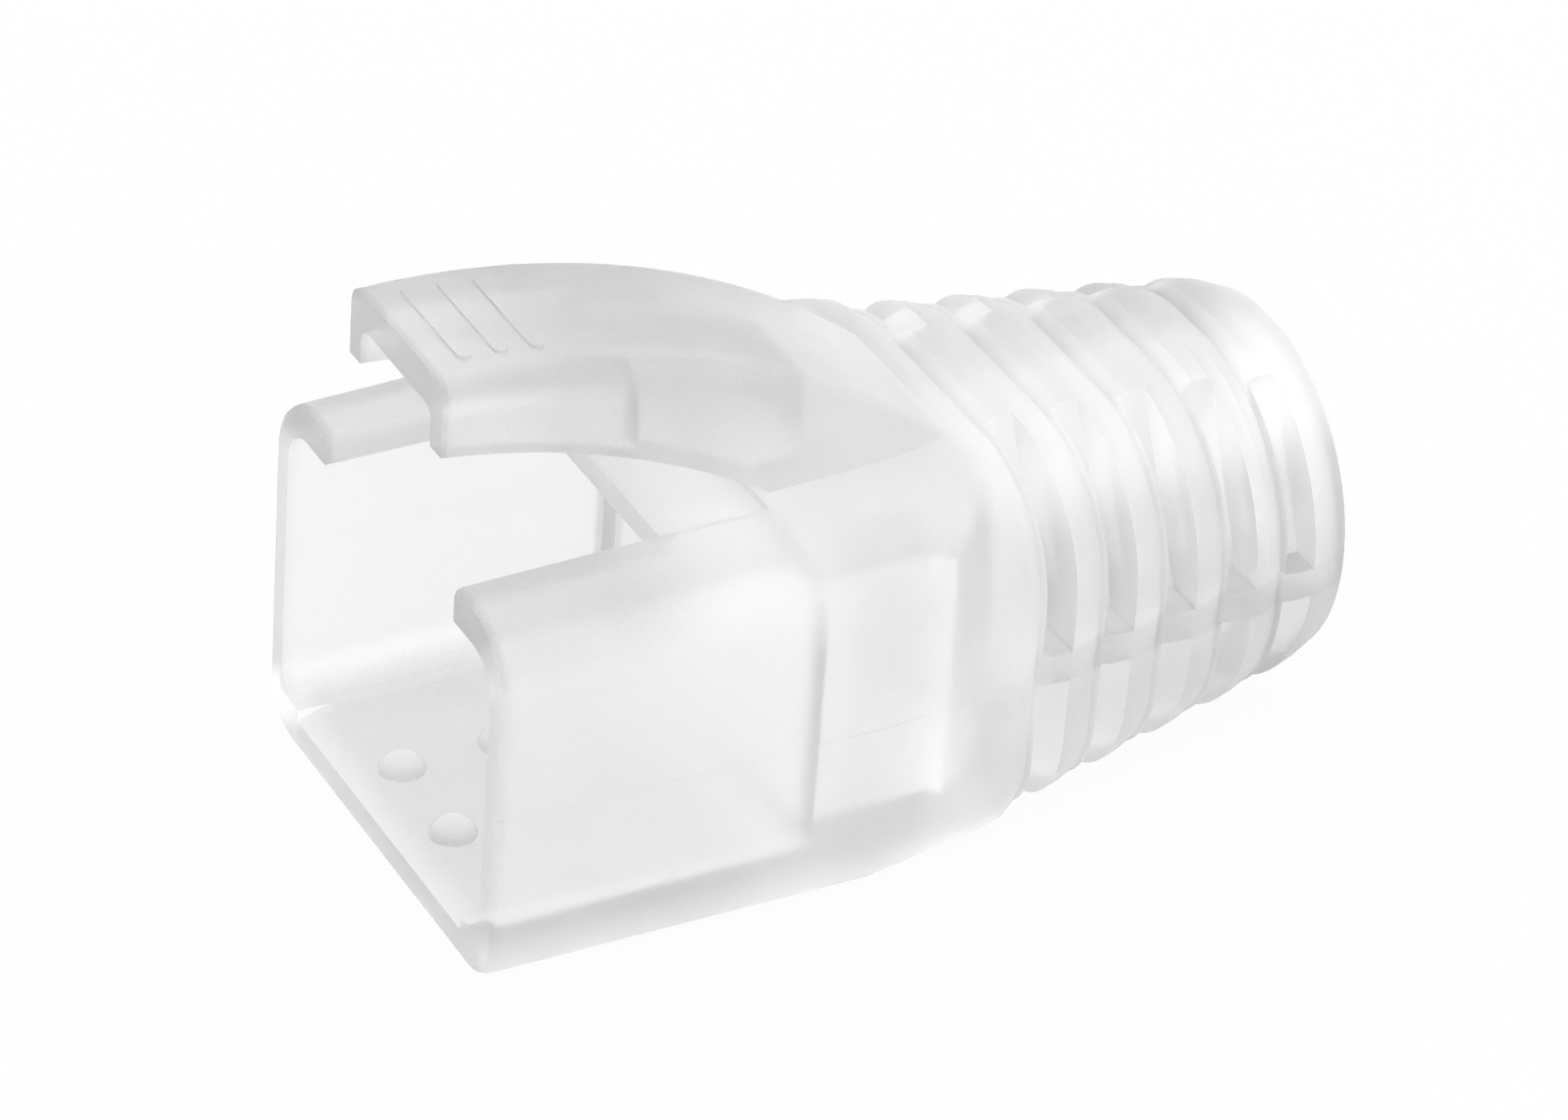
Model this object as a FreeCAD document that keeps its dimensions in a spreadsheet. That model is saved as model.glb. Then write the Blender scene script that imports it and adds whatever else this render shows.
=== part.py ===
"""RJ45 strain relief boot: one clear moulded sleeve with a latch guard and a ribbed cable tail.

Frame: millimetres, +Z up. X runs from the mouth, where the plug goes in, to the tail,
where the cable leaves. The flat floor lies in Z = 0, and the body is shifted along X
so that the origin is the middle of its length.
"""
import FreeCAD, Part
import math
import os

import Sketcher
from FreeCAD import Vector

NODE = "strain_relief_boot"
RING_STEPS = 4  # flats along a ring's arc
GUARD_STEPS = 4  # sections along the guard, less one

# name, value in mm (or a plain count), what it is
SIZES = [
    ("overall_length", 26.9, "mouth plane to tail end"),
    # sleeve
    ("mouth_width", 14.0, "outer width at the mouth"),
    ("mouth_height", 11.05, "outer height at the mouth"),
    ("waist_place", 11.5, "where the sleeve is widest"),
    ("waist_width", 14.3, "outer width there"),
    ("waist_height", 11.25, "outer height there"),
    ("shoulder_place", 15.2, "where the sleeve starts to round off into the tail"),
    ("shoulder_width", 13.7, "outer width there"),
    ("shoulder_height", 11.35, "outer height there"),
    ("roof_round", 2.2, "outer radius along the roof's edges"),
    ("floor_round", 1.45, "outer radius along the floor's edges"),
    ("shoulder_roof_round", 3.2, "roof edge radius at the shoulder"),
    ("shoulder_floor_round", 2.1, "floor edge radius at the shoulder"),
    ("shoulder_share", 0.25, "share of the way to the notch made by the middle of the shoulder"),
    ("mouth_edge", 0.22, "rounding of the mouth's outer edge"),
    ("wall", 0.8, "side wall at the mouth"),
    ("roof_wall", 1.0, "roof at the mouth"),
    ("floor_wall", 1.25, "floor"),
    ("cavity_round", 1.15, "inner radius along the cavity's edges"),
    # inside the sleeve
    ("stop_place", 9.75, "step that the plug's body comes up against"),
    ("rear_straight", 4.2, "length of the space behind the plug before it closes in"),
    ("step_in", 0.75, "height of that step on each wall"),
    ("neck_place", 15.9, "where that space ends and only the bore goes on"),
    ("neck_half", 3.4, "half width of that space at its end"),
    ("lead_in_reach", 1.0, "length of the chamfer on the floor at the mouth"),
    ("lead_in_drop", 0.35, "its drop"),
    ("lead_in_width", 10.2, "its width"),
    ("dome_radius", 0.66, "foot radius of a floor dome"),
    ("dome_rise", 0.5, "height of a floor dome"),
    ("dome_place", 1.5, "first row of domes, from the mouth"),
    ("dome_step", 3.0, "second row behind the first"),
    ("dome_spread", 3.2, "distance between the domes of a row"),
    # latch slot
    ("slot_width", 7.86, "slot in the roof for the plug's latch"),
    ("slot_end", 6.2, "front of the bar behind the slot"),
    ("bar_bevel", 0.4, "length of the bevel on that bar"),
    ("bar_bevel_drop", 0.22, "drop of that bevel"),
    ("recess_end", 9.15, "rear step of the shallow recess behind the slot"),
    ("recess_depth", 0.28, "depth of the recess"),
    # latch guard
    ("guard_front", 0.03, "front face of the guard"),
    ("guard_top", 16.54, "highest line of the guard"),
    ("guard_crown", 0.3, "where the guard is highest"),
    ("guard_arc", 24.0, "radius of its back in side view"),
    ("skirt_top", 14.43, "highest line of the skirts' lower edge"),
    ("skirt_arc", 22.2, "radius of that edge in side view"),
    ("skirt_lead", 1.98, "centre of that radius in front of the mouth"),
    ("guard_half", 2.74, "half width of the guard's back at the mouth"),
    ("guard_widening", 0.022, "widening of the back on each side, per mm"),
    ("guard_lean", 0.106, "lean of the skirts at the root, across per height"),
    ("guard_root", 9.4, "where the skirts run into the roof"),
    ("guard_tail", 15.6, "where the guard's back has sunk into the shoulder"),
    ("guard_round", 0.6, "rounding of the back's edges"),
    ("guard_sink", 0.5, "depth to which the guard's foot runs into the roof"),
    ("guard_plate", 1.05, "thickness of the guard's back"),
    ("skirt_wall", 0.63, "thickness of the skirts at the front"),
    ("skirt_step", 5.9, "where the skirts get thicker"),
    ("throat_half", 1.6, "half width of the space between the thick skirts"),
    ("throat_end", 11.1, "rear end of the space under the guard"),
    ("throat_round", 0.45, "radius inside the guard"),
    ("grip_count", 3, "grip ribs across the guard's back"),
    ("grip_place", 1.13, "first grip rib, from the mouth"),
    ("grip_pitch", 1.04, "distance from one grip rib to the next"),
    ("grip_width", 0.42, "width of a grip rib"),
    ("grip_length", 3.7, "length of a grip rib"),
    ("grip_rise", 0.12, "height of a grip rib"),
    # tail
    ("ring_start", 16.3, "notch between the shoulder and the first ring"),
    ("collar_length", 2.4, "last notch to tail end"),
    ("ring_count", 5, "rings, the last of which is the end collar"),
    ("ring_rise", 0.23, "height of a ring's crest above the notches"),
    ("crest_round", 0.57, "how much the lower corner radius grows from a notch to a crest"),
    ("tail_half", 6.45, "half width of the tail at its first notch"),
    ("tail_top", 11.02, "height of the tail's top at its first notch"),
    ("tail_bottom", 0.3, "height of the notches above the floor's plane"),
    ("tail_roof_round", 3.5, "upper corner radius at the first notch"),
    ("tail_floor_round", 2.1, "lower corner radius at the first notch"),
    ("end_radius", 5.3, "radius of the round tail end"),
    ("end_flat", 0.08, "what stays straight between the corner arcs of the end"),
    ("axis_height", 5.6, "height of the cable's axis"),
    ("end_edge", 0.3, "rounding of the tail end"),
    ("bore_radius", 3.5, "cable bore"),
    ("bore_edge", 0.3, "bevel of the bore at the tail end"),
    # pockets in the rings
    ("spine_height", 0.9, "height of the bar between upper and lower pockets"),
    ("pocket_lead", 0.17, "front of a pocket behind its notch"),
    ("pocket_length", 0.9, "length of a pocket"),
    ("pocket_tip", 2.45, "where a pocket runs out on the ring's top, from the mid plane"),
    ("pocket_depth", 1.45, "depth of the first pocket at the spine"),
    ("pocket_shallow", 0.1, "how much less deep each next pocket is"),
    # working clearances
    ("overrun", 1.0, "how far a cut goes on past a face that it opens"),
    ("lap", 0.3, "overlap of a cut with the space or edge that it joins"),
    ("floor_trim", 0.02, "what the sleeve has below the floor before it is cut flat"),
]


class Size:
    """A number together with the sheet expression that gives it."""

    def __init__(self, value, text):
        self.value = value
        self.text = text

    def __add__(self, other):
        other = size(other)
        return Size(self.value + other.value, f"({self.text} + {other.text})")

    def __sub__(self, other):
        other = size(other)
        return Size(self.value - other.value, f"({self.text} - {other.text})")

    def __mul__(self, other):
        other = size(other)
        return Size(self.value * other.value, f"({self.text} * {other.text})")

    def __truediv__(self, other):
        other = size(other)
        return Size(self.value / other.value, f"({self.text} / {other.text})")

    def __neg__(self):
        return Size(-self.value, f"(0 - {self.text})")


def size(number):
    """Wrap a plain number."""
    if isinstance(number, Size):
        return number
    return Size(float(number), f"{number:.6g}")


def root(value):
    """Square root of a size."""
    return Size(math.sqrt(value.value), f"sqrt({value.text})")


def between(first, last, share):
    """The size that lies a share of the way from first to last."""
    return first + (last - first) * share


class Sheet:
    """The driving dimensions, read as attributes: sheet.wall is a Size."""

    def __init__(self, doc):
        self.cells = doc.addObject("Spreadsheet::Sheet", "sizes")
        self.values = {}
        for row, (name, value, meaning) in enumerate(SIZES, start=1):
            self.cells.set(f"A{row}", name)
            self.cells.set(f"B{row}", str(value))
            self.cells.set(f"C{row}", meaning)
            self.cells.setAlias(f"B{row}", name)
            self.values[name] = value
        doc.recompute()

    def __getattr__(self, name):
        return Size(self.values[name], f"sizes.{name}")


DOC = FreeCAD.newDocument("boot")
S = Sheet(DOC)
BODY = DOC.addObject("PartDesign::Body", NODE)
BODY.Label = NODE
VOLUMES = [0.0]


# ---------------------------------------------------------------- helpers

def bind(thing, path, value):
    """Drive a property of a feature from the sheet."""
    thing.setExpression(path, value.text)


def plane(role):
    """One of the body's own origin planes."""
    return next(f for f in BODY.Origin.OriginFeatures if f.Role == role)


def sketch_on(role, name, offset=None):
    """A new sketch on an origin plane of the body, moved along the plane's normal."""
    sketch = BODY.newObject("Sketcher::SketchObject", name)
    sketch.AttachmentSupport = [(plane(role), "")]
    sketch.MapMode = "FlatFace"
    if offset is not None:
        bind(sketch, "AttachmentOffset.Base.z", offset)
    return sketch


def dimension(sketch, name, value, kind, *where):
    """Add a dimensional constraint and bind it to the sheet."""
    index = sketch.addConstraint(Sketcher.Constraint(kind, *where, value.value))
    sketch.renameConstraint(index, name)
    bind(sketch, f"Constraints.{name}", value)


def polygon(sketch, corners):
    """Straight lines through corners, each corner a pair of sizes from the sketch's origin."""
    count = len(corners)
    points = [Vector(across.value, up.value, 0) for across, up in corners]
    lines = [
        sketch.addGeometry(Part.LineSegment(points[i], points[(i + 1) % count]))
        for i in range(count)
    ]
    for i, line in enumerate(lines):
        sketch.addConstraint(Sketcher.Constraint("Coincident", line, 2, lines[(i + 1) % count], 1))
    for i, (across, up) in enumerate(corners):
        dimension(sketch, f"across{len(sketch.Constraints)}", across, "DistanceX", -1, 1, lines[i], 1)
        dimension(sketch, f"up{len(sketch.Constraints)}", up, "DistanceY", -1, 1, lines[i], 1)


def round_box(name, place, half, top, bottom, top_round, bottom_round):
    """Section across X: a rectangle with one radius at its top and one at its bottom corners."""
    sketch = sketch_on("YZ_Plane", name, place)
    w, t, b = half.value, top.value, bottom.value
    rt, rb = top_round.value, bottom_round.value

    def arc(y, z, radius, start):
        circle = Part.Circle(Vector(y, z, 0), Vector(0, 0, 1), radius)
        return Part.ArcOfCircle(circle, start, start + math.pi / 2)

    def line(y1, z1, y2, z2):
        return Part.LineSegment(Vector(y1, z1, 0), Vector(y2, z2, 0))

    quarter = math.pi / 2
    floor = sketch.addGeometry(line(-w + rb, b, w - rb, b))
    low_right = sketch.addGeometry(arc(w - rb, b + rb, rb, -quarter))
    right = sketch.addGeometry(line(w, b + rb, w, t - rt))
    top_right = sketch.addGeometry(arc(w - rt, t - rt, rt, 0))
    roof = sketch.addGeometry(line(w - rt, t, -w + rt, t))
    top_left = sketch.addGeometry(arc(-w + rt, t - rt, rt, quarter))
    left = sketch.addGeometry(line(-w, t - rt, -w, b + rb))
    low_left = sketch.addGeometry(arc(-w + rb, b + rb, rb, 2 * quarter))
    loop = [floor, low_right, right, top_right, roof, top_left, left, low_left]
    for first, second in zip(loop, loop[1:] + loop[:1]):
        sketch.addConstraint(Sketcher.Constraint("Tangent", first, 2, second, 1))
    for edge in (floor, roof):
        sketch.addConstraint(Sketcher.Constraint("Horizontal", edge))
    for edge in (left, right):
        sketch.addConstraint(Sketcher.Constraint("Vertical", edge))
    sketch.addConstraint(Sketcher.Constraint("Equal", top_right, top_left))
    sketch.addConstraint(Sketcher.Constraint("Equal", low_right, low_left))
    dimension(sketch, "half_right", half, "DistanceX", -1, 1, right, 1)
    dimension(sketch, "half_left", half, "DistanceX", left, 1, -1, 1)
    dimension(sketch, "top", top, "DistanceY", -1, 1, roof, 1)
    dimension(sketch, "bottom", bottom, "DistanceY", -1, 1, floor, 1)
    dimension(sketch, "top_round", top_round, "Radius", top_right)
    dimension(sketch, "bottom_round", bottom_round, "Radius", low_right)
    return sketch


def arch(name, place, foot_half, foot, flat_half, top, corner):
    """Section across X: sloping sides from a wide foot to a flat top with round corners."""
    sketch = sketch_on("YZ_Plane", name, place)
    g, b, e, t, r = (v.value for v in (foot_half, foot, flat_half, top, corner))
    # the side leaves the foot and touches the corner's circle
    dy, dz = g - e, t - r - b
    reach = math.hypot(dy, dz)
    turn = math.atan2(dy, dz) - math.asin(r / reach)
    ty, tz = e + r * math.cos(turn), t - r + r * math.sin(turn)
    up = math.pi / 2

    def line(y1, z1, y2, z2):
        return Part.LineSegment(Vector(y1, z1, 0), Vector(y2, z2, 0))

    def arc(y, start, end):
        return Part.ArcOfCircle(Part.Circle(Vector(y, t - r, 0), Vector(0, 0, 1), r), start, end)

    floor = sketch.addGeometry(line(-g, b, g, b))
    right = sketch.addGeometry(line(g, b, ty, tz))
    top_right = sketch.addGeometry(arc(e, turn, up))
    roof = sketch.addGeometry(line(e, t, -e, t))
    top_left = sketch.addGeometry(arc(-e, up, math.pi - turn))
    left = sketch.addGeometry(line(-ty, tz, -g, b))
    sketch.addConstraint(Sketcher.Constraint("Coincident", floor, 2, right, 1))
    sketch.addConstraint(Sketcher.Constraint("Coincident", left, 2, floor, 1))
    loop = [right, top_right, roof, top_left, left]
    for first, second in zip(loop, loop[1:]):
        sketch.addConstraint(Sketcher.Constraint("Tangent", first, 2, second, 1))
    for edge in (floor, roof):
        sketch.addConstraint(Sketcher.Constraint("Horizontal", edge))
    sketch.addConstraint(Sketcher.Constraint("Equal", top_right, top_left))
    dimension(sketch, "foot_right", foot_half, "DistanceX", -1, 1, right, 1)
    dimension(sketch, "foot_left", foot_half, "DistanceX", left, 2, -1, 1)
    dimension(sketch, "foot", foot, "DistanceY", -1, 1, floor, 1)
    dimension(sketch, "flat_right", flat_half, "DistanceX", -1, 1, roof, 1)
    dimension(sketch, "flat_left", flat_half, "DistanceX", roof, 2, -1, 1)
    dimension(sketch, "top", top, "DistanceY", -1, 1, roof, 1)
    dimension(sketch, "corner", corner, "Radius", top_right)
    return sketch


def loft(name, sections, kind="Additive", ruled=True):
    """Loft through sections, adding to the body or cutting from it."""
    feature = BODY.newObject(f"PartDesign::{kind}Loft", name)
    feature.Profile = sections[0]
    feature.Sections = sections[1:]
    feature.Ruled = ruled
    settle(feature)
    return feature


def settle(feature):
    """Recompute, stop at once if the feature failed, and return how much solid it changed."""
    DOC.recompute()
    if {"Invalid", "Error"} & set(feature.State) or feature.Shape.isNull():
        raise RuntimeError(f"{feature.Name} failed")
    volume = feature.Shape.Volume
    change = volume - VOLUMES[-1]
    VOLUMES.append(volume)
    print(f"{feature.Name}: {volume:.2f} mm3")
    return change


def extrude(kind, name, sketch, length, reverse=False, both=False):
    """Pad or Pocket of a given length. A cut has to remove material."""
    feature = BODY.newObject(f"PartDesign::{kind}", name)
    feature.Profile = sketch
    bind(feature, "Length", length)
    feature.Reversed = reverse
    feature.Midplane = both
    change = settle(feature)
    if (change < 0) != (kind == "Pocket"):
        raise RuntimeError(f"{name} points the wrong way: {change:.3f} mm3")


# ---------------------------------------------------------------- sleeve

def inset(section, depth):
    """Half width, top, bottom and radii of a round_box made smaller all round."""
    half, top, bottom, top_round, bottom_round = section
    return (half - depth, top - depth, bottom + depth, top_round - depth, bottom_round - depth)


def rounded_end(name, section, end, edge, way):
    """Round the edge of an end face in two flats, from the full section to the face."""
    ease = 1 - math.sqrt(0.5)
    loft(name, [
        round_box(f"{name}_full", end - edge * way, *section),
        round_box(f"{name}_turn", end - edge * (ease * way), *inset(section, edge * ease)),
        round_box(f"{name}_face", end, *inset(section, edge)),
    ])


def sleeve():
    """Outer form of the sleeve, from the mouth to the first notch of the tail."""
    low = -S.floor_trim
    mouth = (S.mouth_width / 2, S.mouth_height, low, S.roof_round, S.floor_round)
    waist = (S.waist_width / 2, S.waist_height, low, S.roof_round, S.floor_round)
    shoulder = (S.shoulder_width / 2, S.shoulder_height, low, S.shoulder_roof_round,
                S.shoulder_floor_round)
    notch = notch_size(0)
    loft("sleeve_front", [
        round_box("mouth_section", S.mouth_edge, *mouth),
        round_box("waist_section", S.waist_place, *waist),
    ])
    rounded_end("mouth_rounding", mouth, size(0), S.mouth_edge, -1)
    loft("sleeve_rear", [
        round_box("rear_waist_section", S.waist_place, *waist),
        round_box("shoulder_section", S.shoulder_place, *shoulder),
    ])
    middle = between(S.shoulder_place, S.ring_start, 0.5)
    loft("shoulder", [
        round_box("shoulder_front", S.shoulder_place, *shoulder),
        round_box("shoulder_middle", middle,
                  *[between(a, b, S.shoulder_share) for a, b in zip(shoulder, notch)]),
        round_box("shoulder_rear", S.ring_start, *notch),
    ])
    side_cut("floor_plane", [(-S.overrun, size(0)), (-S.overrun, -S.overrun),
                             (S.ring_start, -S.overrun), (S.ring_start, size(0))], S.waist_width)


# ---------------------------------------------------------------- tail

def ring_pitch():
    """Distance from one notch to the next: the rings share the tail in front of the collar."""
    return (S.overall_length - S.collar_length - S.ring_start) / (S.ring_count - 1)


def notch_size(index):
    """Half width, top, bottom and corner radii of the tail at a notch; the last is round."""
    share = (ring_pitch() * index) / (S.overall_length - S.ring_start)
    if index == S.ring_count.value:
        share = size(1)
    corner = S.end_radius - S.end_flat
    return (
        between(S.tail_half, S.end_radius, share),
        between(S.tail_top, S.axis_height + S.end_radius, share),
        between(S.tail_bottom, S.axis_height - S.end_radius, share),
        between(S.tail_roof_round, corner, share),
        between(S.tail_floor_round, corner, share),
    )


def notch_place(index):
    """Place of a notch along X; the last one is where the tail end starts to round off."""
    if index == S.ring_count.value:
        return S.overall_length - S.end_edge
    return S.ring_start + ring_pitch() * index


def ring(index):
    """One ring: its outline rises in a low arc from a notch to a crest and falls to the next."""
    front, rear = notch_size(index), notch_size(index + 1)
    start, end = notch_place(index), notch_place(index + 1)
    growth = (S.ring_rise, S.ring_rise, -S.tail_bottom, S.ring_rise, S.crest_round)
    sections = []
    for step in range(RING_STEPS + 1):
        share = step / RING_STEPS
        rise = 1 - (share * 2 - 1) ** 2
        outline = [between(a, b, share) + more * rise for a, b, more in zip(front, rear, growth)]
        sections.append(round_box(f"ring{index + 1}_section{step + 1}",
                                  between(start, end, share), *outline))
    loft(f"ring{index + 1}", sections)


def pockets(index):
    """Four pockets behind a notch: above and below the spine, on both sides."""
    deep = S.pocket_depth - S.pocket_shallow * index
    half = notch_size(index)[0] + S.ring_rise - deep
    spine = S.spine_height / 2
    lean = (half - S.pocket_tip) / (S.tail_top - S.axis_height - spine)
    out = S.tail_half + S.overrun
    high = S.tail_top - S.axis_height + S.overrun
    sketch = sketch_on("YZ_Plane", f"pocket{index + 1}_outline",
                       notch_place(index) + S.pocket_lead)
    tip = half - lean * (high - spine)
    for side in (1, -1):
        for way in (1, -1):
            corners = [(half, spine), (out, spine), (out, high), (tip, high)]
            polygon(sketch, [(a * side, S.axis_height + u * way) for a, u in corners])
    extrude("Pocket", f"pockets{index + 1}", sketch, S.pocket_length, reverse=True)


# ---------------------------------------------------------------- inside the sleeve

def cavity():
    """Space for the plug, open at the mouth, and the narrower space behind its stop."""
    half = S.mouth_width / 2 - S.wall
    top = S.mouth_height - S.roof_wall
    plug = (half, top, S.floor_wall, S.cavity_round, S.cavity_round)
    loft("plug_space", [
        round_box("plug_space_mouth", -S.overrun, *plug),
        round_box("plug_space_stop", S.stop_place, *plug),
    ], kind="Subtractive")
    behind = inset(plug, S.step_in)
    loft("rear_space", [
        round_box("rear_space_front", S.stop_place - S.lap, *behind),
        round_box("rear_space_rear", S.stop_place + S.rear_straight, *behind),
    ], kind="Subtractive")
    neck(behind)


def neck(behind):
    """Wedge seen from above, in which the space behind the plug closes in to the bore."""
    half, top, bottom = behind[:3]
    sketch = sketch_on("XY_Plane", "neck_outline", bottom)
    start = S.stop_place + S.rear_straight
    corners = [(start - S.lap, half), (start, half), (S.neck_place, S.neck_half)]
    polygon(sketch, [(x, -y) for x, y in corners] + corners[::-1])
    extrude("Pocket", "neck", sketch, top - bottom, reverse=True)


def circle_on(name, place, radius):
    """A circle across X around the cable's axis."""
    sketch = sketch_on("YZ_Plane", name, place)
    centre = Vector(0, S.axis_height.value, 0)
    ring_line = sketch.addGeometry(Part.Circle(centre, Vector(0, 0, 1), radius.value))
    sketch.addConstraint(Sketcher.Constraint("PointOnObject", ring_line, 3, -2))
    dimension(sketch, "height", S.axis_height, "DistanceY", -1, 1, ring_line, 3)
    dimension(sketch, "radius", radius, "Radius", ring_line)
    return sketch


def bore():
    """Cable bore, with a bevel at the tail end."""
    start = S.neck_place - S.lap
    through = circle_on("bore_outline", start, S.bore_radius)
    extrude("Pocket", "bore", through, S.overall_length - start + S.overrun, reverse=True)
    wide = circle_on("bore_bevel_outer", S.overall_length, S.bore_radius + S.bore_edge)
    narrow = circle_on("bore_bevel_inner", S.overall_length - S.bore_edge, S.bore_radius)
    loft("bore_bevel", [wide, narrow], kind="Subtractive")


def side_cut(name, corners, width):
    """Cut a prism that runs across the boot; corners are pairs of X and Z."""
    sketch = sketch_on("XZ_Plane", f"{name}_outline")
    polygon(sketch, corners)
    extrude("Pocket", name, sketch, width, both=True)


def latch_slot():
    """Slot in the roof, open at the mouth, the bevelled bar behind it and the recess."""
    front, over = -S.overrun, S.mouth_height + S.overrun
    under = S.mouth_height - S.roof_wall - S.lap
    side_cut("latch_slot", [(front, under), (S.slot_end, under), (S.slot_end, over),
                            (front, over)], S.slot_width)
    floor = S.waist_height - S.recess_depth
    front = S.slot_end - S.lap
    side_cut("recess", [(front, floor), (S.recess_end, floor), (S.recess_end, S.waist_height),
                        (front, S.waist_height)], S.slot_width)
    low, high = floor - S.bar_bevel_drop, floor + S.lap
    rear = S.slot_end + S.bar_bevel
    side_cut("bar_bevel", [(front, low), (S.slot_end, low), (rear, floor), (rear, high),
                           (front, high)], S.slot_width)


def floor_lead_in():
    """Chamfer on the floor at the mouth."""
    front, top = -S.overrun, S.floor_wall
    low, high = top - S.lead_in_drop, top + S.lap
    side_cut("floor_lead_in", [(front, low), (size(0), low), (S.lead_in_reach, top),
                               (S.lead_in_reach, high), (front, high)], S.lead_in_width)


def domes():
    """Four low domes on the floor, which press the plug against the roof."""
    foot, rise = S.dome_radius, S.dome_rise
    ball = (foot * foot + rise * rise) / (rise * 2)
    for row in range(2):
        for side in (-1, 1):
            dome = BODY.newObject("PartDesign::AdditiveSphere", "dome")
            dome.AttachmentSupport = [(plane("XY_Plane"), "")]
            dome.MapMode = "FlatFace"
            bind(dome, "AttachmentOffset.Base.x", S.dome_place + S.dome_step * row)
            bind(dome, "AttachmentOffset.Base.y", S.dome_spread * (side / 2))
            bind(dome, "AttachmentOffset.Base.z", S.floor_wall + rise - ball)
            bind(dome, "Radius", ball)
            settle(dome)


# ---------------------------------------------------------------- latch guard

def arc_height(place, top, crown, radius):
    """Height of an arc seen from the side, highest at its crown."""
    along = place - crown
    return top - radius + root(radius * radius - along * along)


def back_height(place):
    """Height of the guard's back."""
    return arc_height(place, S.guard_top, S.guard_crown, S.guard_arc)


def guard_foot():
    """Height of the plane in which the guard's sections end, inside the roof."""
    return S.waist_height - S.guard_sink


def guard_section(place, wall, plate, corner):
    """Section of the guard, or of the space inside it when wall and plate aren't zero."""
    top = back_height(place)
    foot = guard_foot()
    share = size(1)
    if place.value < S.guard_root.value:
        share = place / S.guard_root
    half = S.guard_half + S.guard_widening * place
    foot_half = half + S.guard_lean * share * (top - foot)
    return (foot_half - wall, foot, half - wall - corner, top - plate, corner)


def guard_run(name, first, last, steps, section, kind="Additive", ruled=True):
    """Loft of arch sections between two places, close enough to keep the arc of the back."""
    places = [between(first, last, step / steps) for step in range(steps + 1)]
    sections = [
        arch(f"{name}_section{number}", place, *section(place))
        for number, place in enumerate(places, start=1)
    ]
    loft(name, sections, kind, ruled)


def throat_section(place):
    """Section of the space between the thick rear parts of the skirts."""
    top = back_height(place) - S.guard_plate
    return (S.throat_half, guard_foot(), S.throat_half - S.throat_round, top, S.throat_round)


def guard():
    """Arched guard over the slot: a back and two skirts, rooted in the sleeve's roof."""
    none = size(0)
    guard_run("guard", S.guard_front, S.guard_tail, GUARD_STEPS,
              lambda place: guard_section(place, none, none, S.guard_round), ruled=False)
    skirt_edge()
    guard_run("hollow", -S.lap, S.skirt_step, 3,
              lambda place: guard_section(place, S.skirt_wall, S.guard_plate, S.throat_round),
              "Subtractive")
    guard_run("throat", S.skirt_step - S.throat_round, S.throat_end, 3, throat_section,
              "Subtractive")


def skirt_edge():
    """Cut away what hangs below the skirts' arched lower edge."""
    radius, middle = S.skirt_arc, S.skirt_top - S.skirt_arc
    fall = S.skirt_top - S.waist_height
    root_place = root(radius * fall * 2 - fall * fall) - S.skirt_lead
    front, low = -S.overrun, S.mouth_height / 2
    sketch = sketch_on("XZ_Plane", "skirt_edge_outline")
    centre = Vector(-S.skirt_lead.value, middle.value, 0)
    rise = arc_height(front, S.skirt_top, -S.skirt_lead, radius).value

    def corner(x, z):
        return Vector(x.value, z if isinstance(z, float) else z.value, 0)

    circle = Part.Circle(centre, Vector(0, 0, 1), radius.value)
    start = circle.parameter(corner(root_place, S.waist_height))
    end = circle.parameter(corner(front, rise))
    edge = sketch.addGeometry(Part.ArcOfCircle(circle, start, end))
    lead = sketch.addGeometry(Part.LineSegment(corner(front, rise), corner(front, low)))
    floor = sketch.addGeometry(Part.LineSegment(corner(front, low), corner(root_place, low)))
    back = sketch.addGeometry(
        Part.LineSegment(corner(root_place, low), corner(root_place, S.waist_height)))
    loop = [edge, lead, floor, back]
    for first, second in zip(loop, loop[1:] + loop[:1]):
        sketch.addConstraint(Sketcher.Constraint("Coincident", first, 2, second, 1))
    for line, way in ((lead, "Vertical"), (floor, "Horizontal"), (back, "Vertical")):
        sketch.addConstraint(Sketcher.Constraint(way, line))
    dimension(sketch, "arc_radius", radius, "Radius", edge)
    dimension(sketch, "arc_lead", S.skirt_lead, "DistanceX", edge, 3, -1, 1)
    dimension(sketch, "arc_drop", radius - S.skirt_top, "DistanceY", edge, 3, -1, 1)
    dimension(sketch, "root_place", root_place, "DistanceX", -1, 1, back, 1)
    dimension(sketch, "low", low, "DistanceY", -1, 1, back, 1)
    dimension(sketch, "front", -front, "DistanceX", floor, 1, -1, 1)
    extrude("Pocket", "skirt_edge", sketch, S.waist_width, both=True)


def grip_ribs():
    """Low ribs with round ends across the front of the guard's back."""
    for number in range(int(S.grip_count.value)):
        place = S.grip_place + S.grip_pitch * number
        sketch = sketch_on("XY_Plane", f"grip{number + 1}_outline",
                           back_height(place) - S.guard_plate / 2)
        slot_outline(sketch, place, S.grip_width, S.grip_length)
        extrude("Pad", f"grip{number + 1}", sketch, S.guard_plate / 2 + S.grip_rise)


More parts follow.
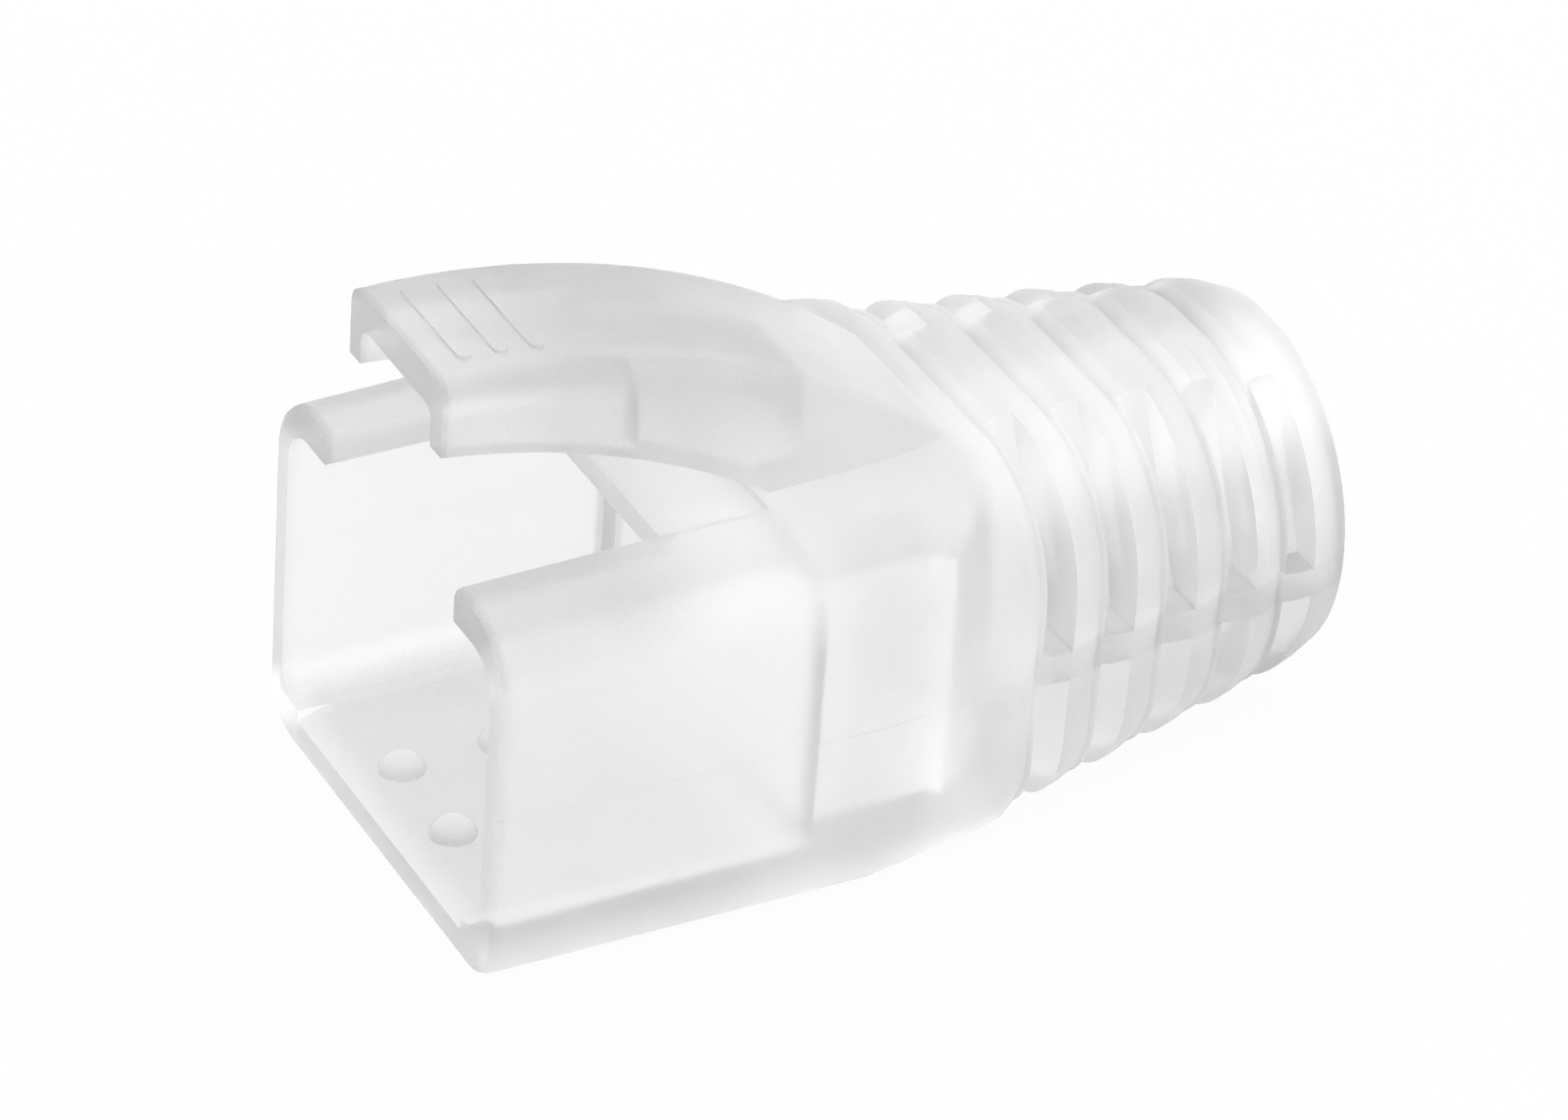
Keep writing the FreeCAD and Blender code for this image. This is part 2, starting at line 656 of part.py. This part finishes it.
def slot_outline(sketch, place, width, length):
    """Outline with round ends, centred on the mid plane and running across X."""
    x, r = place.value, width.value / 2
    reach = length.value / 2 - r
    up, quarter = Vector(0, 0, 1), math.pi / 2
    far = Part.ArcOfCircle(Part.Circle(Vector(x, reach, 0), up, r), 0, 2 * quarter)
    near = Part.ArcOfCircle(Part.Circle(Vector(x, -reach, 0), up, r), 2 * quarter, 4 * quarter)
    far = sketch.addGeometry(far)
    front = sketch.addGeometry(Part.LineSegment(Vector(x - r, reach, 0), Vector(x - r, -reach, 0)))
    near = sketch.addGeometry(near)
    rear = sketch.addGeometry(Part.LineSegment(Vector(x + r, -reach, 0), Vector(x + r, reach, 0)))
    loop = [far, front, near, rear]
    for first, second in zip(loop, loop[1:] + loop[:1]):
        sketch.addConstraint(Sketcher.Constraint("Tangent", first, 2, second, 1))
    sketch.addConstraint(Sketcher.Constraint("Vertical", front))
    dimension(sketch, "place_far", place, "DistanceX", -1, 1, far, 3)
    dimension(sketch, "end_radius", width / 2, "Radius", far)
    dimension(sketch, "reach_far", (length - width) / 2, "DistanceY", -1, 1, far, 3)
    dimension(sketch, "reach_near", (length - width) / 2, "DistanceY", near, 3, -1, 1)


# ---------------------------------------------------------------- the boot

def write():
    """Check every object of the document and write the boot's STEP file."""
    DOC.recompute()
    for thing in DOC.Objects:
        if {"Invalid", "Error"} & set(thing.State):
            raise RuntimeError(f"{thing.Name} is in error")
    shape = BODY.Shape
    if shape.isNull() or not shape.isValid() or len(shape.Solids) != 1:
        raise RuntimeError(f"{NODE} is not one valid solid")
    os.makedirs("parts", exist_ok=True)
    shape.exportStep(f"parts/{NODE}.step")
    box = shape.BoundBox
    print(f"{NODE}: {shape.Volume:.1f} mm3, box {box.XLength:.2f} x {box.YLength:.2f}"
          f" x {box.ZLength:.2f} mm, lowest {box.ZMin:.3f}")


def main():
    """Build the boot, check it and write it."""
    BODY.setExpression("Placement.Base.x", (-S.overall_length / 2).text)
    guard()
    grip_ribs()
    sleeve()
    cavity()
    latch_slot()
    floor_lead_in()
    domes()
    count = int(S.ring_count.value)
    for index in range(count):
        ring(index)
    rounded_end("tail_rounding", notch_size(count), S.overall_length, S.end_edge, 1)
    bore()
    for index in range(count):
        pockets(index)
    write()


main()
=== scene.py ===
# %% [markdown]
# # A clear strain relief boot for a network plug
#
# The boot is one moulding of clear, slightly milky polymer: a rectangular sleeve that slides
# over the plug, an arched guard over the plug's latch, and a ribbed tail that lets the cable
# bend softly. The shape comes ready made from the CAD model. This lesson gives it its
# finish: a frosted, see-through plastic, which is one of the harder things to light well,
# because it shows everything that stands around it.

# %% Load the model
import math

import bpy
from mathutils import Matrix, Vector


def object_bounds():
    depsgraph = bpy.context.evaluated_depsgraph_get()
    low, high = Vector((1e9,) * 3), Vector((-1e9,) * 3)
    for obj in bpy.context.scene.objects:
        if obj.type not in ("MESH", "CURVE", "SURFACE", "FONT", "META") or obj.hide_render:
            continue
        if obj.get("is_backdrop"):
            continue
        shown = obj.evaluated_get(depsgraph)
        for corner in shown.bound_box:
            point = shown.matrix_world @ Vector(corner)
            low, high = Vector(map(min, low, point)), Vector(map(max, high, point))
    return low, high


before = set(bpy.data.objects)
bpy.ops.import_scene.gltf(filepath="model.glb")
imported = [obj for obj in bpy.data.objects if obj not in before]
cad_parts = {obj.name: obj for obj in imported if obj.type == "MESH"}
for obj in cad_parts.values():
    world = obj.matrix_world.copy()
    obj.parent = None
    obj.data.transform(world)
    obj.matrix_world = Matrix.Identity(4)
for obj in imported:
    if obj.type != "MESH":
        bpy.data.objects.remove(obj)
CAD_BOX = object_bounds()
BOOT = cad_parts["strain_relief_boot"]
LOW, HIGH = CAD_BOX
CENTRE = (LOW + HIGH) / 2
LENGTH = HIGH.x - LOW.x
print(f"boot: {len(BOOT.data.polygons)} faces, {LENGTH * 1000:.1f} mm long")

# %% [markdown]
# ## A small language for shaders
#
# A material in Blender is a graph of nodes. Building one in Python is long-winded, so two
# small classes help. A `Wire` is the output of a node, and Python's own operators on it add
# the Math nodes, so that a mask reads like a sum. A `Finish` is a material, and its one
# method `node` adds any node with its settings and what feeds its sockets. A socket is
# named, or counted where several sockets of a node share a name.

# %% Wires: sums on shader values


class Wire:
    """The output of a node; arithmetic on it adds Math nodes."""

    def __init__(self, tree, socket):
        self.tree = tree
        self.socket = socket

    def maths(self, operation, other=None, swapped=False):
        """Add a Math node of this wire and another wire or number."""
        made = self.tree.nodes.new("ShaderNodeMath")
        made.operation = operation
        terms = [self] if other is None else [self, other]
        if swapped:
            terms.reverse()
        for slot, term in zip(made.inputs, terms):
            feed(self.tree, slot, term)
        return Wire(self.tree, made.outputs[0])

    def __add__(self, other):
        return self.maths("ADD", other)

    def __radd__(self, other):
        return self.maths("ADD", other, swapped=True)

    def __sub__(self, other):
        return self.maths("SUBTRACT", other)

    def __rsub__(self, other):
        return self.maths("SUBTRACT", other, swapped=True)

    def __mul__(self, other):
        return self.maths("MULTIPLY", other)

    def __rmul__(self, other):
        return self.maths("MULTIPLY", other, swapped=True)

    def at_least(self, other):
        """The larger of the two."""
        return self.maths("MAXIMUM", other)


def feed(tree, slot, value):
    """Give a socket a wire or a plain value."""
    if isinstance(value, Wire):
        tree.links.new(value.socket, slot)
    else:
        slot.default_value = value


# %% Finishes: any node in one call


# The Mix node has sockets for numbers and vectors before those for colours.
COLOUR_A = 6
COLOUR_B = 7
COLOUR_OUT = 2


class Finish:
    """A node tree of a material or the world, filled one node at a time."""

    def __init__(self, owner):
        owner.use_nodes = True
        self.owner = owner
        self.tree = owner.node_tree
        self.tree.nodes.clear()

    def node(self, kind, settings=None, sockets=None, out=0):
        """Add a node: first its settings, then its sockets. Returns one output as a Wire."""
        made = self.tree.nodes.new("ShaderNode" + kind)
        for name, value in (settings or {}).items():
            setattr(made, name, value)
        for name, value in (sockets or {}).items():
            feed(self.tree, made.inputs[name], value)
        return Wire(self.tree, made.outputs[out])

    def grey_of(self, level):
        """A wire's value as a neutral colour, between black and white."""
        return self.node("Mix", {"data_type": "RGBA"},
                         {"Factor": level, COLOUR_A: BLACK, COLOUR_B: WHITE},
                         out=COLOUR_OUT)

    def mix_shaders(self, factor, first, second):
        """Two shaders mixed: the first at 0, the second at 1."""
        return self.node("MixShader", sockets={"Fac": factor, 1: first, 2: second})

    def output(self, kind, sockets):
        """Add the output node, which ends the tree."""
        made = self.tree.nodes.new("ShaderNodeOutput" + kind)
        for name, value in sockets.items():
            feed(self.tree, made.inputs[name], value)


def grey(level):
    """A neutral colour."""
    return (level, level, level, 1)


BLACK = grey(0.0)
WHITE = grey(1.0)


# %% [markdown]
# ## Where things are on the boot
#
# The plastic of a real moulding is the same all over, yet it doesn't look the same: some
# places look darker, and others catch the light. A path tracer finds part of that by
# itself. But with one even finish this boot came out too light on the guard, the lips,
# the floor inside and the collar, and too dark on top of the first two rings. So the
# finish below is told which places to darken and which to brighten. That is a correction
# and not physics: it was set for one angle of view, and from straight above the
# ring tops come out nearly white.
#
# That could be painted on a texture, but then it would be tied to one mesh. Here it is
# written as places in millimetres, as someone would measure them with a caliper: along
# the boot from its mouth, across it from the middle, and up from the floor. `out` is the
# same to both sides. Two more help on the tail: `beat` counts from one notch between the
# rings (0) to the next (1), and `depth` is how far below the tail's side a point lies.

# %% Measure places on the boot

MM = 1000.0
MOUTH = LOW.x * MM
FIRST_NOTCH = 16.3
NOTCH_PITCH = 2.05
TAIL_HALF_WIDTH = 6.45
TAIL_TAPER = 0.1085
OPEN = None


class Places:
    """How far a point lies in each direction, and soft edges along them."""

    def __init__(self, finish):
        self.finish = finish
        self.point = finish.node("TexCoord", out="Object")
        along = self.part("X") * MM - MOUTH
        across = self.part("Y") * MM
        out = across.maths("ABSOLUTE")
        behind_notch = along - FIRST_NOTCH
        self.where = {
            "along": along,
            "across": across,
            "out": out,
            "up": self.part("Z") * MM,
            "beat": (behind_notch * (1 / NOTCH_PITCH)).maths("FRACT"),
            "depth": TAIL_HALF_WIDTH - behind_notch * TAIL_TAPER - out,
        }
        self.edges = {}

    def part(self, name):
        """One of the point's three coordinates, in metres."""
        return self.finish.node("SeparateXYZ", sockets={"Vector": self.point}, out=name)

    def edge(self, direction, start, end):
        """A smooth rise from 0 at the start to 1 at the end; the same edge is made once."""
        key = (direction, start, end)
        if key not in self.edges:
            self.edges[key] = self.finish.node(
                "MapRange", {"interpolation_type": "SMOOTHSTEP"},
                {"Value": self.where[direction], "From Min": start, "From Max": end})
        return self.edges[key]

    def soft_box(self, sides):
        """1 inside a box and 0 outside it, with soft sides."""
        mask = None
        for direction, (begins, full, fades, gone) in sides.items():
            parts = []
            if begins is not OPEN:
                parts.append(self.edge(direction, begins, full))
            if gone is not OPEN:
                parts.append(1 - self.edge(direction, fades, gone))
            for part in parts:
                mask = part if mask is None else mask * part
        return mask


# %% [markdown]
# ## Painted shade and painted light
#
# Each place is a box with soft sides. A side has four numbers: where the place begins,
# where it is full, where it starts to fade and where it is gone. A place takes light
# away by a darker colour (shade) and gives or takes some glow. The amounts were set
# round by round, until the greys came close to the real boot's. The reasons given
# here are likely ones; none was measured.
#
# - Front: painted shade darkens the guard and the two lips, which are seen over the empty
#   sleeve. It also darkens the rim of the mouth, the lips' ends and the floor inside, which
#   lies in their shade, most of all at its far corner. A painted dark line on the side walls
#   marks the step that stops the plug, and painted shade dims the walls just behind it.
#   Painted light brightens the recess in the roof and the foot of the walls, where the
#   floor guides light in. A hair line on each side wall is where the mould parts.
# - Shoulder: solid plastic, with painted light where it starts and low down.
# - Tail: a painted highlight lies on its top and on each ring's front edge. Its lower half,
#   which looks through the most plastic, gets painted shade. Painted shade darkens the
#   notches, the pockets' depths and the bar between upper and lower pockets. Painted light
#   brightens the pockets' shallow tips and the pockets below the bar. The collar gets
#   painted shade low down and a painted highlight on top.

# %% List the darker and lighter places

SLEEVE = (OPEN, OPEN, 12.0, 15.6)
TAIL = (15.6, 16.6, OPEN, OPEN)
BESIDE = (2.4, 3.0, OPEN, OPEN)

# name: (shade, painted glow, sides); the shade is painted shade, except on the parting line
DARKER_AND_LIGHTER = {
    "guard": (0.05, -0.022, {"up": (11.3, 12.3, OPEN, OPEN), "along": SLEEVE}),
    "guard_back": (0.08, 0, {"up": (12.4, 14.2, OPEN, OPEN), "along": (1.0, 6.0, 12.0, 15.6)}),
    "lips": (0.09, -0.035, {"up": (9.4, 10.3, 11.1, 11.5), "along": (OPEN, OPEN, 4.0, 7.5)}),
    "lip_ends": (0.09, 0, {"up": (9.4, 9.8, OPEN, OPEN), "along": (OPEN, OPEN, 0.1, 0.3)}),
    "mouth_rim": (0.06, -0.01, {"up": (1.2, 1.6, OPEN, OPEN), "along": (OPEN, OPEN, 0.1, 0.4)}),
    "roof_recess": (0, 0.025, {"along": (6.2, 7.0, 9.5, 11.0), "up": (9.6, 10.0, 11.1, 11.3),
                               "out": (OPEN, OPEN, 3.6, 4.4)}),
    "floor": (0.1, -0.03, {"up": (OPEN, OPEN, 1.3, 1.8), "out": (OPEN, OPEN, 5.4, 6.2),
                           "along": (0.0, 0.9, 8.0, 10.0)}),
    "far_corner": (0.2, 0, {"up": (1.2, 1.3, 1.5, 2.1), "across": (4.0, 5.4, 6.25, 6.35),
                            "along": (OPEN, OPEN, 8.0, 9.5)}),
    "wall_foot": (0, 0.14, {"up": (OPEN, OPEN, 0.8, 2.0), "out": (6.0, 6.6, OPEN, OPEN),
                            "along": (OPEN, OPEN, 15.6, 16.6)}),
    "parting_line": (0.11, 0, {"up": (5.53, 5.59, 5.61, 5.67), "out": (6.6, 6.9, OPEN, OPEN)}),
    "plug_stop": (0.33, 0, {"along": (9.4, 9.65, 9.85, 10.1), "out": (5.0, 5.6, 6.2, 6.5),
                            "up": (OPEN, OPEN, 8.0, 8.8)}),
    "behind_stop": (0.04, -0.018, {"along": (9.9, 10.5, 12.4, 13.0),
                                   "out": (5.0, 5.6, OPEN, OPEN)}),
    "shoulder_start": (0, 0.012, {"along": (12.5, 13.2, 13.8, 14.8),
                                  "out": (4.6, 5.6, OPEN, OPEN)}),
    "shoulder_low": (0, 0.03, {"along": (12.6, 13.4, 15.6, 16.3), "up": (OPEN, OPEN, 4.5, 8.5)}),
    "tail_top": (0, 0.075, {"up": (9.0, 10.8, OPEN, OPEN), "along": (14.4, 16.0, 20.0, 25.0)}),
    "tail_low": (0.06, -0.015, {"along": (18.0, 25.5, OPEN, OPEN), "up": (OPEN, OPEN, 4.6, 6.4)}),
    "notch_front": (0.14, 0, {"beat": (0.92, 1.0, OPEN, OPEN), "along": (15.6, 16.6, 25.0, 25.4)}),
    "notch_back": (0.14, 0, {"beat": (OPEN, OPEN, 0.0, 0.1), "along": (15.6, 16.6, 25.0, 25.4)}),
    "ring_edge": (0, 0.04, {"beat": (0.1, 0.14, 0.2, 0.3), "along": TAIL,
                            "out": (OPEN, OPEN, 2.4, 3.0)}),
    "pocket_deep": (0.13, -0.025, {"beat": (0.074, 0.08, 0.53, 0.56), "along": TAIL,
                                   "out": BESIDE, "depth": (0.4, 1.2, OPEN, OPEN),
                                   "up": (5.4, 7.4, 7.8, 9.8)}),
    "pocket_tip": (0, 0.05, {"beat": (0.2, 0.3, 0.5, 0.56), "along": TAIL, "out": BESIDE,
                             "up": (7.0, 9.5, OPEN, OPEN)}),
    "pocket_low": (0, 0.07, {"beat": (0.1, 0.14, 0.5, 0.56), "along": TAIL, "out": BESIDE,
                             "up": (OPEN, OPEN, 5.0, 5.2)}),
    "spine": (0.1, -0.035, {"up": (4.9, 5.2, 6.0, 6.3), "along": (16.6, 17.0, OPEN, OPEN)}),
    "collar": (0.03, -0.035, {"along": (24.2, 24.8, OPEN, OPEN), "up": (OPEN, OPEN, 7.5, 9.5)}),
    "collar_top": (0, 0.05, {"along": (24.4, 26.2, OPEN, OPEN), "up": (7.5, 10.5, OPEN, OPEN)}),
}
print(len(DARKER_AND_LIGHTER), "darker and lighter places")

# %% [markdown]
# ## The polymer
#
# Clear polymer from a mould isn't glass: the mould is finely blasted, so the surface
# scatters what passes through it, and the plastic itself is faintly milky. Four things
# make it up here.
#
# - The Principled shader with its transmission high and a fair roughness gives the
#   frosted, see-through body. Its refraction is set lower than the plastic's own 1.5,
#   because at 1.5 the boot comes out about 13 grey levels of 255 darker. The cause
#   wasn't found, so the low value is a way round it.
# - A weak painted glow, light that the plastic gives out though it is no lamp, lifts what
#   is still too dark, a little as milky plastic does when it scatters light. A volume that
#   scatters would be truer, but wasn't tried. The glow is weak, so it isn't treated as a
#   lamp. That halves the render's time and makes the picture about one grey level darker.
# - Absorption inside the solid darkens long ways through it a little.
# - The surface has a fine grain from the blasted mould, cloudy patches a few millimetres
#   wide where the melt cooled unevenly, and long faint smears in the direction in which
#   the boot slid out of the mould.

# %% Make the clear polymer

REFRACTION = 1.25
CLEARNESS = 0.8
ROUGHNESS = 0.4
ABSORPTION_PER_METRE = 20.0
# The even part of the painted glow: light the plastic gives out though it is no lamp.
PAINTED_GLOW = 0.04

# Noise scales count features per metre; a smear is stretched along the boot.
GRAIN_SCALE = 18000.0
CLOUD_SCALE = 420.0
SMEAR_SCALE = 1300.0
SMEAR_SQUEEZE = (0.18, 1, 1)
GRAIN_BUMP = 0.12
GRAIN_HEIGHT = 0.00003

# How much each pattern changes the colour, the painted glow and the roughness.
SHADE_BY_PATTERN = {"cloud": 0.06, "smear": 0.07, "grain": 0.14}
PAINTED_GLOW_BY_CLOUD = 0.02
ROUGHNESS_BY_PATTERN = {"cloud": 0.08, "grain": 0.05}


def clear_polymer():
    """Frosted, slightly milky plastic, with painted shade and painted light in places."""
    finish = Finish(bpy.data.materials.new("clear_polymer"))
    places = Places(finish)
    squeezed = finish.node("VectorMath", {"operation": "MULTIPLY"},
                           {0: places.point, 1: SMEAR_SQUEEZE})

    def pattern(place, scale, detail):
        """Noise about zero."""
        return finish.node("TexNoise", sockets={
            "Vector": place, "Scale": scale, "Detail": detail}) - 0.5

    patterns = {
        "grain": pattern(places.point, GRAIN_SCALE, 0.0),
        "cloud": pattern(places.point, CLOUD_SCALE, 2.0),
        "smear": pattern(squeezed, SMEAR_SCALE, 1.0),
    }
    shade = sum(patterns[name] * amount for name, amount in SHADE_BY_PATTERN.items())
    rough = ROUGHNESS + sum(patterns[name] * amount
                            for name, amount in ROUGHNESS_BY_PATTERN.items())
    # The glow is painted light: an even part, a cloudy part, and the painted light of the places
    # below.
    glow = patterns["cloud"] * PAINTED_GLOW_BY_CLOUD + PAINTED_GLOW
    # Each place adds painted shade to the colour and painted light to the glow; only the parting
    # line's shade is a real mark.
    for more_shade, painted_place_glow, sides in DARKER_AND_LIGHTER.values():
        mask = places.soft_box(sides)
        if more_shade:
            shade = shade + mask * more_shade
        if painted_place_glow:
            glow = glow + mask * painted_place_glow
    bump = finish.node("Bump", sockets={
        "Strength": GRAIN_BUMP, "Distance": GRAIN_HEIGHT, "Height": patterns["grain"]})
    surface = finish.node("BsdfPrincipled", sockets={
        "Base Color": finish.grey_of(1 - shade.at_least(0.0)),
        "Roughness": rough,
        "IOR": REFRACTION,
        "Transmission Weight": CLEARNESS,
        "Emission Color": finish.grey_of(glow.at_least(0.0)),
        "Emission Strength": 1.0,
        "Normal": bump,
    })
    inside = finish.node("VolumeAbsorption", sockets={
        "Color": BLACK, "Density": ABSORPTION_PER_METRE})
    finish.output("Material", {"Surface": surface, "Volume": inside})
    finish.owner.cycles.emission_sampling = "NONE"
    return finish.owner


POLYMER = clear_polymer()
BOOT.data.materials.clear()
BOOT.data.materials.append(POLYMER)
print("finish:", POLYMER.name, "with", len(POLYMER.node_tree.nodes), "nodes")

# %% [markdown]
# ## Floor and surroundings
#
# The boot stands on a white sweep of paper with nothing else in view, so all that is seen
# past it and through it is white. Plain paper gives back less light than falls on it and
# would render a little grey. So the plane mostly glows white for what is seen directly,
# in the plastic's shine or through the plastic, and it is plain paper for light that
# bounces. A little of the paper is left everywhere, so that a faint shadow stays.

# %% Make the floor and the world

FLOOR_SIZE = 60 * LENGTH
FLOOR_GAP = 0.00002
PAPER_GREY = 0.9
SEEN_GLOW = 0.93


def seen_directly(finish):
    """1 for rays from the camera, in a reflection and through the plastic, else 0."""
    seen = finish.node("LightPath", out="Is Camera Ray")
    for name in ("Is Glossy Ray", "Is Transmission Ray"):
        seen = seen.at_least(finish.node("LightPath", out=name))
    return seen


def white_floor():
    """A wide plane that looks white and still takes a faint shadow."""
    bpy.ops.mesh.primitive_plane_add(
        size=FLOOR_SIZE, location=(CENTRE.x, CENTRE.y, LOW.z - FLOOR_GAP))
    floor = bpy.context.object
    floor.name = "floor"
    finish = Finish(bpy.data.materials.new("white_sweep"))
    paper = finish.node("BsdfDiffuse", sockets={"Color": grey(PAPER_GREY)})
    glow = finish.node("Emission", sockets={"Color": WHITE, "Strength": 1.0})
    both = finish.mix_shaders(seen_directly(finish) * SEEN_GLOW, paper, glow)
    finish.output("Material", {"Surface": both})
    floor.data.materials.append(finish.owner)
    floor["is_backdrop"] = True
    return floor


def white_world():
    """White all round."""
    world = bpy.data.worlds.new("studio")
    bpy.context.scene.world = world
    finish = Finish(world)
    sky = finish.node("Background", sockets={"Color": WHITE, "Strength": 1.0})
    finish.output("World", {"Surface": sky})


FLOOR = white_floor()
white_world()
print(f"floor {FLOOR.dimensions.x:.2f} m wide, top at {FLOOR.location.z * 1000:.2f} mm")

# %% [markdown]
# ## Lights
#
# White all round gives the light little direction. Two large soft lamps add some: a weak
# one high on the left that draws a soft shine along the rounded edges, and one low on the
# right that lights the tail. They are several boots wide, so they make no hard spots on
# the frosted surface. Small bright lamps would show as sharp glints, which frosted
# plastic doesn't have.

# %% Make the lamps

LAMP_SIZE = 8 * LENGTH
LAMP_DISTANCE = 12 * LENGTH


def soft_lamp(name, direction, power):
    """A square lamp that looks at the boot's middle."""
    data = bpy.data.lights.new(name, "AREA")
    data.size = LAMP_SIZE
    data.energy = power
    lamp = bpy.data.objects.new(name, data)
    bpy.context.collection.objects.link(lamp)
    towards = Vector(direction).normalized()
    lamp.location = CENTRE + towards * LAMP_DISTANCE
    lamp.rotation_euler = towards.to_track_quat("Z", "Y").to_euler()
    print(f"lamp {name}: {power} W")


soft_lamp("key", (-0.5, -0.35, 1.0), 0.03)
soft_lamp("fill", (0.9, -0.8, 0.5), 0.08)

# %% [markdown]
# ## Camera
#
# A long lens from above the mouth's left corner, so that one look takes in the open
# mouth, the guard, a whole side and the tail, with little perspective. The camera is
# tipped a few degrees about its own axis. Its place is written as two angles, a tip and a
# distance from the boot, which are easier to change than a matrix.

# %% Make the camera

AZIMUTH = math.radians(-30.408)
ELEVATION = math.radians(34.065)
TIP = math.radians(4.418)
DISTANCE = 0.196724
LENS = 165.22
SENSOR = 36
AIM = Vector((0.00055, 0, 0.006))
AIM_RIGHT = -0.001711
AIM_UP = -0.000159

back = Vector((math.sin(AZIMUTH) * math.cos(ELEVATION),
               -math.cos(AZIMUTH) * math.cos(ELEVATION), math.sin(ELEVATION)))
level = Vector((math.cos(AZIMUTH), math.sin(AZIMUTH), 0))
upright = back.cross(level)
right = math.cos(TIP) * level + math.sin(TIP) * upright
up = -math.sin(TIP) * level + math.cos(TIP) * upright
aim = AIM + right * AIM_RIGHT + up * AIM_UP

lens = bpy.data.cameras.new("camera")
lens.lens = LENS
lens.sensor_width = SENSOR
lens.clip_start = 0.01
lens.clip_end = 10
camera = bpy.data.objects.new("camera", lens)
bpy.context.collection.objects.link(camera)
turn = Matrix((right, up, back)).transposed().to_4x4()
camera.matrix_world = Matrix.Translation(aim + back * DISTANCE) @ turn
bpy.context.scene.camera = camera
bpy.context.scene.view_settings.view_transform = "Standard"
print(f"camera {DISTANCE * 1000:.0f} mm away, {LENS:.0f} mm lens")

# %% [markdown]
# ## Check the size
#
# The finish mustn't change the shape. The box round everything that counts as the boot is
# measured again, and how far it has moved from the one from the CAD model is printed. The
# same can be seen by eye in a render, but a number shows a shift of a hair.

# %% Measure how far the box has moved
NEW_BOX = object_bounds()
grown = max((new - old).length for new, old in zip(NEW_BOX, CAD_BOX))
print(f"the box has moved by {grown * 1000:.4f} mm")
